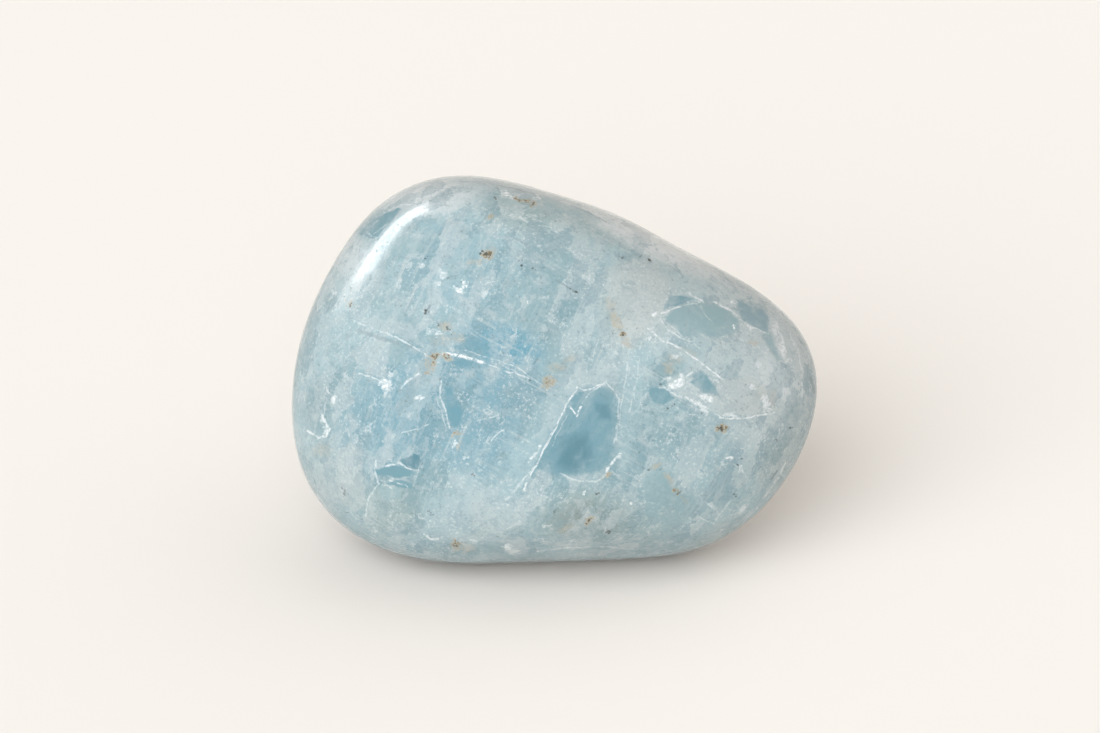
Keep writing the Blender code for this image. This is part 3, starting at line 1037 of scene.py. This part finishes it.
def lay_floor():
    """A plain pale sheet under the stone."""
    mesh = bpy.data.meshes.new("floor")
    corners = [(x * FLOOR_HALF, y * FLOOR_HALF, 0) for x, y in ((-1, -1), (1, -1), (1, 1), (-1, 1))]
    mesh.from_pydata(corners, [], [(0, 1, 2, 3)])
    floor = bpy.data.objects.new("floor", mesh)
    bpy.context.scene.collection.objects.link(floor)
    material = bpy.data.materials.new("pale_paper")
    material.use_nodes = True
    surface = material.node_tree.nodes["Principled BSDF"]
    surface.inputs["Base Color"].default_value = FLOOR_PAPER
    surface.inputs["Roughness"].default_value = 1.0
    surface.inputs["Specular IOR Level"].default_value = 0.0
    mesh.materials.append(material)


def softbox(name, direction, along, width, height, power):
    """A flat lamp that faces the stone from the given direction, its height lying along another one."""
    lamp = bpy.data.lights.new(name, "AREA")
    lamp.shape = "RECTANGLE"
    lamp.size = width
    lamp.size_y = height
    lamp.energy = power
    holder = bpy.data.objects.new(name, lamp)
    backwards = direction.normalized()
    sideways = along.cross(backwards).normalized()
    upwards = backwards.cross(sideways)
    turn = Matrix((sideways, upwards, backwards)).transposed()
    holder.matrix_world = Matrix.Translation(CAMERA_TARGET + backwards * STRIP_DISTANCE) @ turn.to_4x4()
    bpy.context.scene.collection.objects.link(holder)
    return holder


def light_studio():
    """A dim room, a wide soft glow in front on the left, a weaker fill above and behind on the right, and
    the lamps at the upper left that the polish reflects."""
    world = bpy.data.worlds.new("studio")
    bpy.context.scene.world = world
    world.use_nodes = True
    sketch = Sketch(world.node_tree)
    direction = sketch.add("ShaderNodeTexCoord").outputs["Generated"]
    towards_glow = sketch.dot(direction, GLOW_DIRECTION.normalized())
    glow = sketch.fade(towards_glow, math.cos(GLOW_REACH), 1.0, ROOM_LIGHT, GLOW_LIGHT)
    mirrored = sketch.fade(towards_glow, math.cos(GLOW_REACH), 1.0, MIRRORED_ROOM, MIRRORED_GLOW)
    seen_in_polish = sketch.add("ShaderNodeLightPath").outputs["Is Glossy Ray"]
    towards_fill = sketch.dot(direction, FILL_DIRECTION.normalized())
    fill = sketch.fade(towards_fill, math.cos(FILL_REACH), 1.0, 0.0, FILL_LIGHT)
    fill = sketch.number("MAXIMUM", fill, 0.0)
    light = sketch.mean(sketch.number("ADD", glow, fill), mirrored, seen_in_polish)
    backdrop = world.node_tree.nodes["Background"]
    tint = sketch.blend(ROOM_TINT, GLOW_TINT, sketch.fade(towards_glow, math.cos(GLOW_REACH), 1.0))
    sketch.feed(backdrop.inputs["Color"], tint)
    sketch.feed(backdrop.inputs["Strength"], light)
    for name, width, height, power in STRIPS:
        lamp = softbox(name, STRIP_DIRECTION, STRIP_TILT, width * MM, height * MM, power)
        lamp.visible_diffuse = False


def set_camera():
    """The camera where the photo was taken from."""
    lens = bpy.data.cameras.new("camera")
    lens.lens = LENS
    lens.sensor_width = SENSOR_WIDTH
    lens.clip_start = CLIP_START
    camera = bpy.data.objects.new("camera", lens)
    camera.location = CAMERA_PLACE
    camera.rotation_euler = TOWARDS_CAMERA.to_track_quat("Z", "Y").to_euler()
    bpy.context.scene.collection.objects.link(camera)
    bpy.context.scene.camera = camera


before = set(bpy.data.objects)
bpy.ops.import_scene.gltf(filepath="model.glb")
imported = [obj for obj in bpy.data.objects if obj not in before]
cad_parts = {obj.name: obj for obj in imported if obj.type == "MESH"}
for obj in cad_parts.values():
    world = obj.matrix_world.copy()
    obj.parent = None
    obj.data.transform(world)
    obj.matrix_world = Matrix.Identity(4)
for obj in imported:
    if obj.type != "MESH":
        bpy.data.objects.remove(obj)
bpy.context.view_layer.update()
bpy.context.scene.view_settings.view_transform = "Standard"
stone = finer_stone(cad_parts["aquamarine"])
stone.data.materials.clear()
stone.data.materials.append(aquamarine())
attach(stone, "root")
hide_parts("aquamarine")
lay_floor()
light_studio()
set_camera()
